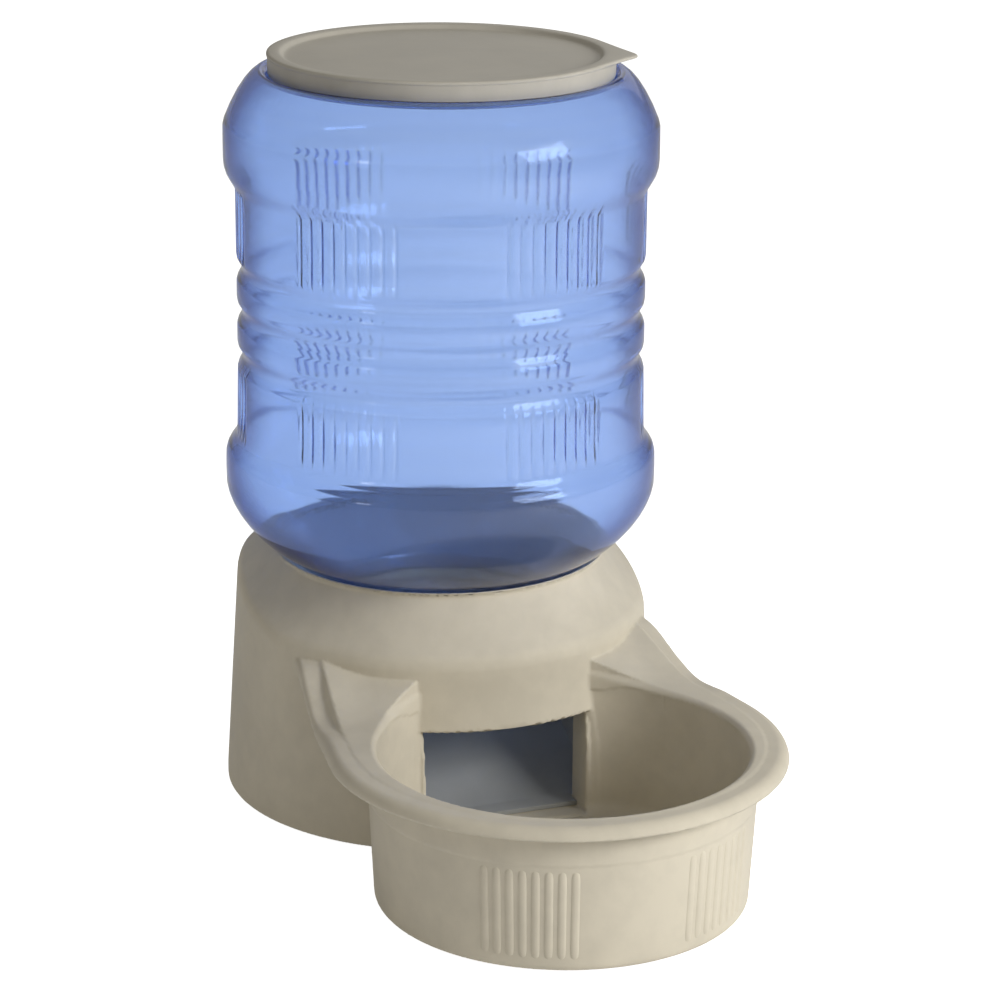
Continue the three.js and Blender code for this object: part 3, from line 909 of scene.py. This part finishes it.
def buildBase():
    step = base["step"]
    xs = (np.arange(int(base["reach"] / step)) + 0.5) * step
    ys = np.arange(base["front"], base["reach"], step)
    zs = np.arange(-2 * step, base["height"], step)
    grid = np.meshgrid(xs, ys, zs, indexing="ij")
    field = baseDistance(*(g.astype(np.float32) for g in grid)).astype(np.float32)
    field = np.concatenate([field[::-1], field])
    origin = np.array([-xs[-1], ys[0], zs[0]])
    points, floors, quads = skin(field, step, origin)
    print("base skinned:", len(points), "points,", len(quads), "faces")
    points = settle(points, 2, floors, step)
    made = meshObject("baseMoulding", points + [0, hopperY, 0], quads.tolist(), basePlastic)
    thinning = made.modifiers.new("thinning", "DECIMATE")
    thinning.ratio = min(1.0, base["faceLimit"] / (2 * len(quads)))
    shadeSmooth(worked(made))
    mesh = made.data
    spots = np.zeros(len(mesh.vertices) * 3)
    mesh.vertices.foreach_get("co", spots)
    spots = spots.reshape(-1, 3) / millimetre - [0, hopperY, 0]
    flat = np.zeros(len(mesh.vertices) * 3)
    mesh.vertex_normals.foreach_get("vector", flat)
    flat = flat.reshape(-1, 3)
    normals = slopeAt(spots, 0.3)
    normals /= np.maximum(np.linalg.norm(normals, axis=1), 1e-9)[:, None]
    # where the slope and the faces disagree, as on a sharp edge, the faces are right
    agree = np.clip(((normals * flat).sum(1) - 0.75) / 0.2, 0, 1)[:, None]
    normals = normals * agree + flat * (1 - agree)
    normals /= np.maximum(np.linalg.norm(normals, axis=1), 1e-9)[:, None]
    mesh.normals_split_custom_set_from_vertices(normals.tolist())
    return made


baseMoulding = buildBase()
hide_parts("base_shell")
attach(baseMoulding, "base")
print("base made:", len(baseMoulding.data.polygons), "faces")


# ribs on the front of the bowl, two groups that follow the wall's draft

bowlRibs = {
    "count": 8,
    "pitch": 3.8,
    "first": 18.3,
    "low": 7.0,
    "high": 56.5,
    "half": 2.5,             # half the width of a rib
    "flatness": 0.5,         # how much of a half circle its height keeps
    "sunk": 0.65,
}


def ribTree():
    tree, bench, given = newTree("bowlRibs", {
        "Count": "NodeSocketInt", "Pitch": "NodeSocketFloat", "First": "NodeSocketFloat",
        "Side": "NodeSocketFloat", "Radius": "NodeSocketFloat", "Draft": "NodeSocketFloat",
        "Low": "NodeSocketFloat", "High": "NodeSocketFloat", "Half": "NodeSocketFloat",
        "Flatness": "NodeSocketFloat",
        "Centre": "NodeSocketFloat", "Material": "NodeSocketMaterial"})
    low, high = given["Low"], given["High"]
    foot = bench.vector(0.0, 0 - (given["Radius"] + given["Draft"] * low), low)
    head = bench.vector(0.0, 0 - (given["Radius"] + given["Draft"] * high), high)
    line = bench.node("GeometryNodeCurvePrimitiveLine", {}, {"Start": foot, "End": head})["Curve"]
    fine = bench.node("GeometryNodeResampleCurve", {}, {"Curve": line, "Count": 25})["Curve"]
    share = bench.node("GeometryNodeSplineParameter")["Factor"]
    away = bench.maths("ABSOLUTE", share * 2.0 - 1.0, 0.0)
    taper = bench.maths("SQRT", 1.02 - away ** 14.0, 0.0)
    shaped = bench.node("GeometryNodeSetCurveRadius", {}, {"Curve": fine, "Radius": taper})["Curve"]
    outline = bench.node("GeometryNodeCurvePrimitiveCircle", {}, {"Resolution": 20,
                                                                  "Radius": given["Half"]})["Curve"]
    pressed = bench.vector(1.0, given["Flatness"], 1.0)
    outline = bench.node("GeometryNodeTransform", {}, {"Geometry": outline, "Scale": pressed})["Geometry"]
    rib = bench.node("GeometryNodeCurveToMesh", {}, {"Curve": shaped, "Profile Curve": outline,
                                                     "Fill Caps": True})
    if "Scale" in rib.made.inputs:
        tree.links.new(bench.node("GeometryNodeInputRadius")[0].socket, rib.made.inputs["Scale"])
    row = bench.node("GeometryNodeMeshLine", {}, {"Count": given["Count"], "Offset": (0, 0, 0)})["Mesh"]
    number = bench.node("GeometryNodeInputIndex")[0]
    turn = (given["First"] + number * given["Pitch"]) * given["Side"] * (math.pi / 180)
    facing = bench.vector(0.0, 0.0, turn)
    placed = bench.node("GeometryNodeInstanceOnPoints", {}, {"Points": row, "Instance": rib["Mesh"],
                                                             "Rotation": facing})["Instances"]
    centred = bench.node("GeometryNodeTransform", {}, {
        "Geometry": placed, "Translation": bench.vector(0.0, given["Centre"])})["Geometry"]
    closeTree(bench, centred, given["Material"])
    return tree


def buildRibs(side, name):
    holder = meshObject(name + "Start", [(0, 0, 0)], [])
    made = runTree(holder, ribTree(), {
        "Count": bowlRibs["count"], "Pitch": bowlRibs["pitch"], "First": bowlRibs["first"], "Side": side,
        "Radius": (base["bowlRadius"] - bowlRibs["sunk"]) * millimetre, "Draft": base["bowlDraft"],
        "Low": bowlRibs["low"] * millimetre, "High": bowlRibs["high"] * millimetre,
        "Half": bowlRibs["half"] * millimetre, "Flatness": bowlRibs["flatness"],
        "Centre": (hopperY - wellReach) * millimetre,
        "Material": basePlastic}, name)
    shadeSmooth(made)
    return made


for side, name in ((1.0, "bowlRibsRight"), (-1.0, "bowlRibsLeft")):
    ribs = buildRibs(side, name)
    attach(ribs, "base")
print("bowl ribs made")


# turned parts that repeat: one lathe outline, threaded or slotted by the tree and set at each place

screw = {
    "places": [(side * base["bossAcross"], hopperY + along * base["bossAlong"])
               for side in (-1, 1) for along in (-1, 1)],
    "outline": [(0.0, 93.1), (1.9, 93.15), (2.7, 93.45), (3.35, 94.05), (3.68, 94.8), (3.7, 95.6),
                (3.6, 95.7), (1.75, 95.7)],
    "shank": 1.62,
    "shankTop": 108.4,
    "pitch": 1.3,
    "threadDepth": 0.34,
    "recess": 3.4,           # span of the cross in the head
    "recessWidth": 0.75,
    "recessDepth": 1.3,
}
foot = {
    "wallPlaces": [(base["padReach"] * math.sin(math.radians(turn)),
                    hopperY - base["padReach"] * math.cos(math.radians(turn)))
                   for turn in (80, 150, 210, 280)],
    "bowlPlaces": [(-52.0, bowlY - 42), (52.0, bowlY - 42)],
    "outline": [(0.0, 0.7), (2.6, 0.7), (3.0, 0.45), (3.3, 0.0), (4.6, 0.0), (4.8, 0.35), (5.1, 0.35),
                (5.3, 0.0), (6.9, 0.0), (7.6, 0.25), (7.95, 0.8)],
    "wallTop": 3.0,
    "bowlTop": 4.7,
}


def turnedTree():
    tree, bench, given = newTree("turnedSet", {
        "Part": "NodeSocketObject", "Pitch": "NodeSocketFloat", "ThreadDepth": "NodeSocketFloat",
        "ThreadLow": "NodeSocketFloat", "ThreadHigh": "NodeSocketFloat", "Recess": "NodeSocketFloat",
        "RecessWidth": "NodeSocketFloat", "RecessDepth": "NodeSocketFloat", "Bottom": "NodeSocketFloat",
        "Material": "NodeSocketMaterial"})
    part = bench.node("GeometryNodeObjectInfo", {}, {"Object": given["Part"]})["Geometry"]
    spot = bench.position()
    turn = bench.maths("ARCTAN2", spot["Y"], spot["X"]) / (2 * math.pi)
    phase = (spot["Z"] / given["Pitch"] - turn) * (2 * math.pi)
    cutIn = (bench.maths("COSINE", phase, 0.0) * 0.5 + 0.5) * given["ThreadDepth"]
    threaded = (spot["Z"] > given["ThreadLow"]) * (spot["Z"] < given["ThreadHigh"])
    wound = bench.pushed(part, bench.vector(spot["X"], spot["Y"]), 0 - cutIn * threaded)
    bars = []
    for first, second in (("Recess", "RecessWidth"), ("RecessWidth", "Recess")):
        size = bench.vector(given[first], given[second], given["RecessDepth"] * 2.0)
        bar = bench.node("GeometryNodeMeshCube", {}, {"Size": size})["Mesh"]
        bars.append(bench.node("GeometryNodeTransform", {}, {
            "Geometry": bar, "Translation": bench.vector(0.0, 0.0, given["Bottom"])})["Geometry"])
    cross = bench.node("GeometryNodeMeshBoolean", {"operation": "UNION"}, {"Mesh": bars[0]})
    tree.links.new(bars[1].socket, pickSocket(cross.made.inputs, "Mesh"))
    slotted = bench.node("GeometryNodeMeshBoolean", {"operation": "DIFFERENCE"}, {"Mesh 1": wound})
    tree.links.new(cross["Mesh"].socket, pickSocket(slotted.made.inputs, "Mesh 2"))
    chosen = bench.node("GeometryNodeSwitch", {"input_type": "GEOMETRY"}, {
        "Switch": given["Recess"] > 0.0, "False": wound, "True": slotted["Mesh"]})["Output"]
    placed = bench.node("GeometryNodeInstanceOnPoints", {}, {
        "Points": given["Geometry"], "Instance": chosen})["Instances"]
    closeTree(bench, placed, given["Material"])
    return tree


turnedSets = turnedTree()


def buildTurned(name, outline, places, values, sides=40):
    angles = np.radians(np.linspace(0, 360, sides, endpoint=False))
    part = latheMesh(name + "Part", outline, angles, 0, None)
    shadeSmooth(part)
    spots = meshObject(name + "Places", [(x, y, 0) for x, y in places], [])
    made = runTree(spots, turnedSets, {**values, "Part": part}, name)
    bpy.data.objects.remove(part)
    made.data.set_sharp_from_angle(angle=math.radians(38))
    return made


shankRows = np.linspace(95.7, screw["shankTop"], 74)[1:]
screwLine = (screw["outline"] + [(screw["shank"], h) for h in shankRows]
             + [(1.1, 109.4), (0.4, 110.3), (0.0, 110.5)])
rampScrews = buildTurned("rampScrews", screwLine, screw["places"], {
    "Pitch": screw["pitch"] * millimetre, "ThreadDepth": screw["threadDepth"] * millimetre,
    "ThreadLow": 0.0965, "ThreadHigh": 0.1088, "Recess": screw["recess"] * millimetre,
    "RecessWidth": screw["recessWidth"] * millimetre, "RecessDepth": screw["recessDepth"] * millimetre,
    "Bottom": 0.0931, "Material": screwSteel}, 28)
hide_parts(*(f"ramp_screw_{n}" for n in range(1, 5)))
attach(rampScrews, "base")

for name, places, top, nodes in (("wallFeet", foot["wallPlaces"], foot["wallTop"], range(1, 5)),
                                 ("bowlFeet", foot["bowlPlaces"], foot["bowlTop"], range(5, 7))):
    footLine = foot["outline"] + [(8.0, top - 0.5), (7.6, top - 0.05), (7.3, top), (0.0, top)]
    feet = buildTurned(name, footLine, places, {"Pitch": 1.0, "Material": footRubber}, 48)
    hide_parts(*(f"rubber_foot_{n}" for n in nodes))
    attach(feet, "base")
print("screws and feet made")


# feed ramp: the channel's own shape with its moulded edges softened

ramp = {
    "weld": 0.00002,
    "edge": 0.0006,
    "edgeSteps": 3,
    "flatAngle": 1,          # degrees between faces that count as one flat
    "edgeAngle": 40,
    "sharpAngle": 35,
}


def buildRamp():
    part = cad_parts["feed_ramp"]
    mesh = part.data.copy()
    mesh.transform(part.matrix_world)
    made = bpy.data.objects.new("feedRamp", mesh)
    bpy.context.scene.collection.objects.link(made)
    mesh.materials.clear()
    mesh.materials.append(rampPlastic)
    welded = made.modifiers.new("welded", "WELD")
    welded.merge_threshold = ramp["weld"]
    flats = made.modifiers.new("flats", "DECIMATE")
    flats.decimate_type = "DISSOLVE"
    flats.angle_limit = math.radians(ramp["flatAngle"])
    edges = made.modifiers.new("edges", "BEVEL")
    edges.width = ramp["edge"]
    edges.segments = ramp["edgeSteps"]
    edges.limit_method = "ANGLE"
    edges.angle_limit = math.radians(ramp["edgeAngle"])
    shadeSmooth(worked(made))
    made.data.set_sharp_from_angle(angle=math.radians(ramp["sharpAngle"]))
    return made


feedRamp = buildRamp()
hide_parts("feed_ramp")
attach(feedRamp, "base")
print("ramp made:", len(feedRamp.data.polygons), "faces")


# room: pale floor, bright surround, soft key from the front right

room = {
    "floorColour": (0.84, 0.84, 0.84, 1.0),
    "surround": 1.0,         # what the camera and clear plastic see
    "fill": 0.31,            # what lights the mouldings from all sides
    "fillColour": (1.0, 0.97, 0.90, 1.0),
    "key": 30.0,
}


def buildRoom():
    material, bench = newMaterial("paleFloor")
    place = bench.node("ShaderNodeTexCoord")["Object"]
    cloud = bench.noise(place, 3.0, 3.0)
    path = bench.node("ShaderNodeLightPath")
    shader = bench.node("ShaderNodeBsdfPrincipled", {}, {
        "Base Color": room["floorColour"], "Roughness": cloud * 0.1 + 0.75})
    seen = bench.maths("MAXIMUM", path["Is Camera Ray"], path["Is Transmission Ray"])
    glow = bench.node("ShaderNodeEmission", {}, {"Color": (1, 1, 1, 1), "Strength": seen * 0.8 + 0.1})
    both = bench.node("ShaderNodeAddShader", {}, {0: shader["BSDF"], 1: glow["Emission"]})
    bench.node("ShaderNodeOutputMaterial", {}, {"Surface": both[0]})
    reach = 40000
    floor = meshObject("floor", [(-reach, -reach, 0), (reach, -reach, 0), (reach, reach, 0),
                                 (-reach, reach, 0)], [(0, 1, 2, 3)], material)

    world = bpy.data.worlds.new("surround")
    bpy.context.scene.world = world
    world.use_nodes = True
    world.node_tree.nodes.clear()
    bench = Bench(world.node_tree)
    path = bench.node("ShaderNodeLightPath")
    seen = bench.maths("MAXIMUM", path["Is Camera Ray"], path["Is Transmission Ray"])
    level = seen * (room["surround"] - room["fill"]) + room["fill"]
    tone = bench.blendColours(seen, room["fillColour"], (1, 1, 1, 1))
    sky = bench.node("ShaderNodeBackground", {}, {"Color": tone, "Strength": level})
    bench.node("ShaderNodeOutputWorld", {}, {"Surface": sky["Background"]})


def addLight(name, place, target, size, power, colour=(1, 1, 1)):
    lamp = bpy.data.lights.new(name, "AREA")
    lamp.shape = "RECTANGLE"
    lamp.use_shadow = True
    lamp.size, lamp.size_y = size
    lamp.energy = power
    lamp.color = colour
    made = bpy.data.objects.new(name, lamp)
    bpy.context.scene.collection.objects.link(made)
    made.location = place
    made.rotation_euler = (Vector(target) - Vector(place)).to_track_quat("-Z", "Y").to_euler()
    return made


def addCamera():
    lens = bpy.data.cameras.new("camera")
    lens.sensor_width = 36.0
    lens.lens = 3369.2 / 1000 * 36.0
    lens.clip_end = 100.0
    made = bpy.data.objects.new("camera", lens)
    bpy.context.scene.collection.objects.link(made)
    right = Vector((0.932787, -0.360338, 0.008046))
    up = Vector((0.100433, 0.281295, 0.954351))
    ahead = Vector((0.346152, 0.889398, -0.298578))
    turn = Matrix((right, up, -ahead)).transposed().to_4x4()
    made.matrix_world = Matrix.Translation((-0.611996, -1.662800 + hopperY * millimetre, 0.714148)) @ turn
    bpy.context.scene.camera = made


buildRoom()
key = addLight("key", (1.08, -1.4, 0.98), (0, -0.05, 0.18), (0.9, 0.7), room["key"], (0.97, 0.98, 1.0))
key.visible_glossy = False
addLight("back", (0.9, 1.4, 0.9), (0, 0.05, 0.25), (1.2, 0.8), 1.0)
addLight("left", (-1.7, -0.9, 0.62), (0, 0, 0.25), (0.25, 0.25), 0.8)
addCamera()
bpy.context.scene.view_settings.view_transform = "Standard"
print("room made")
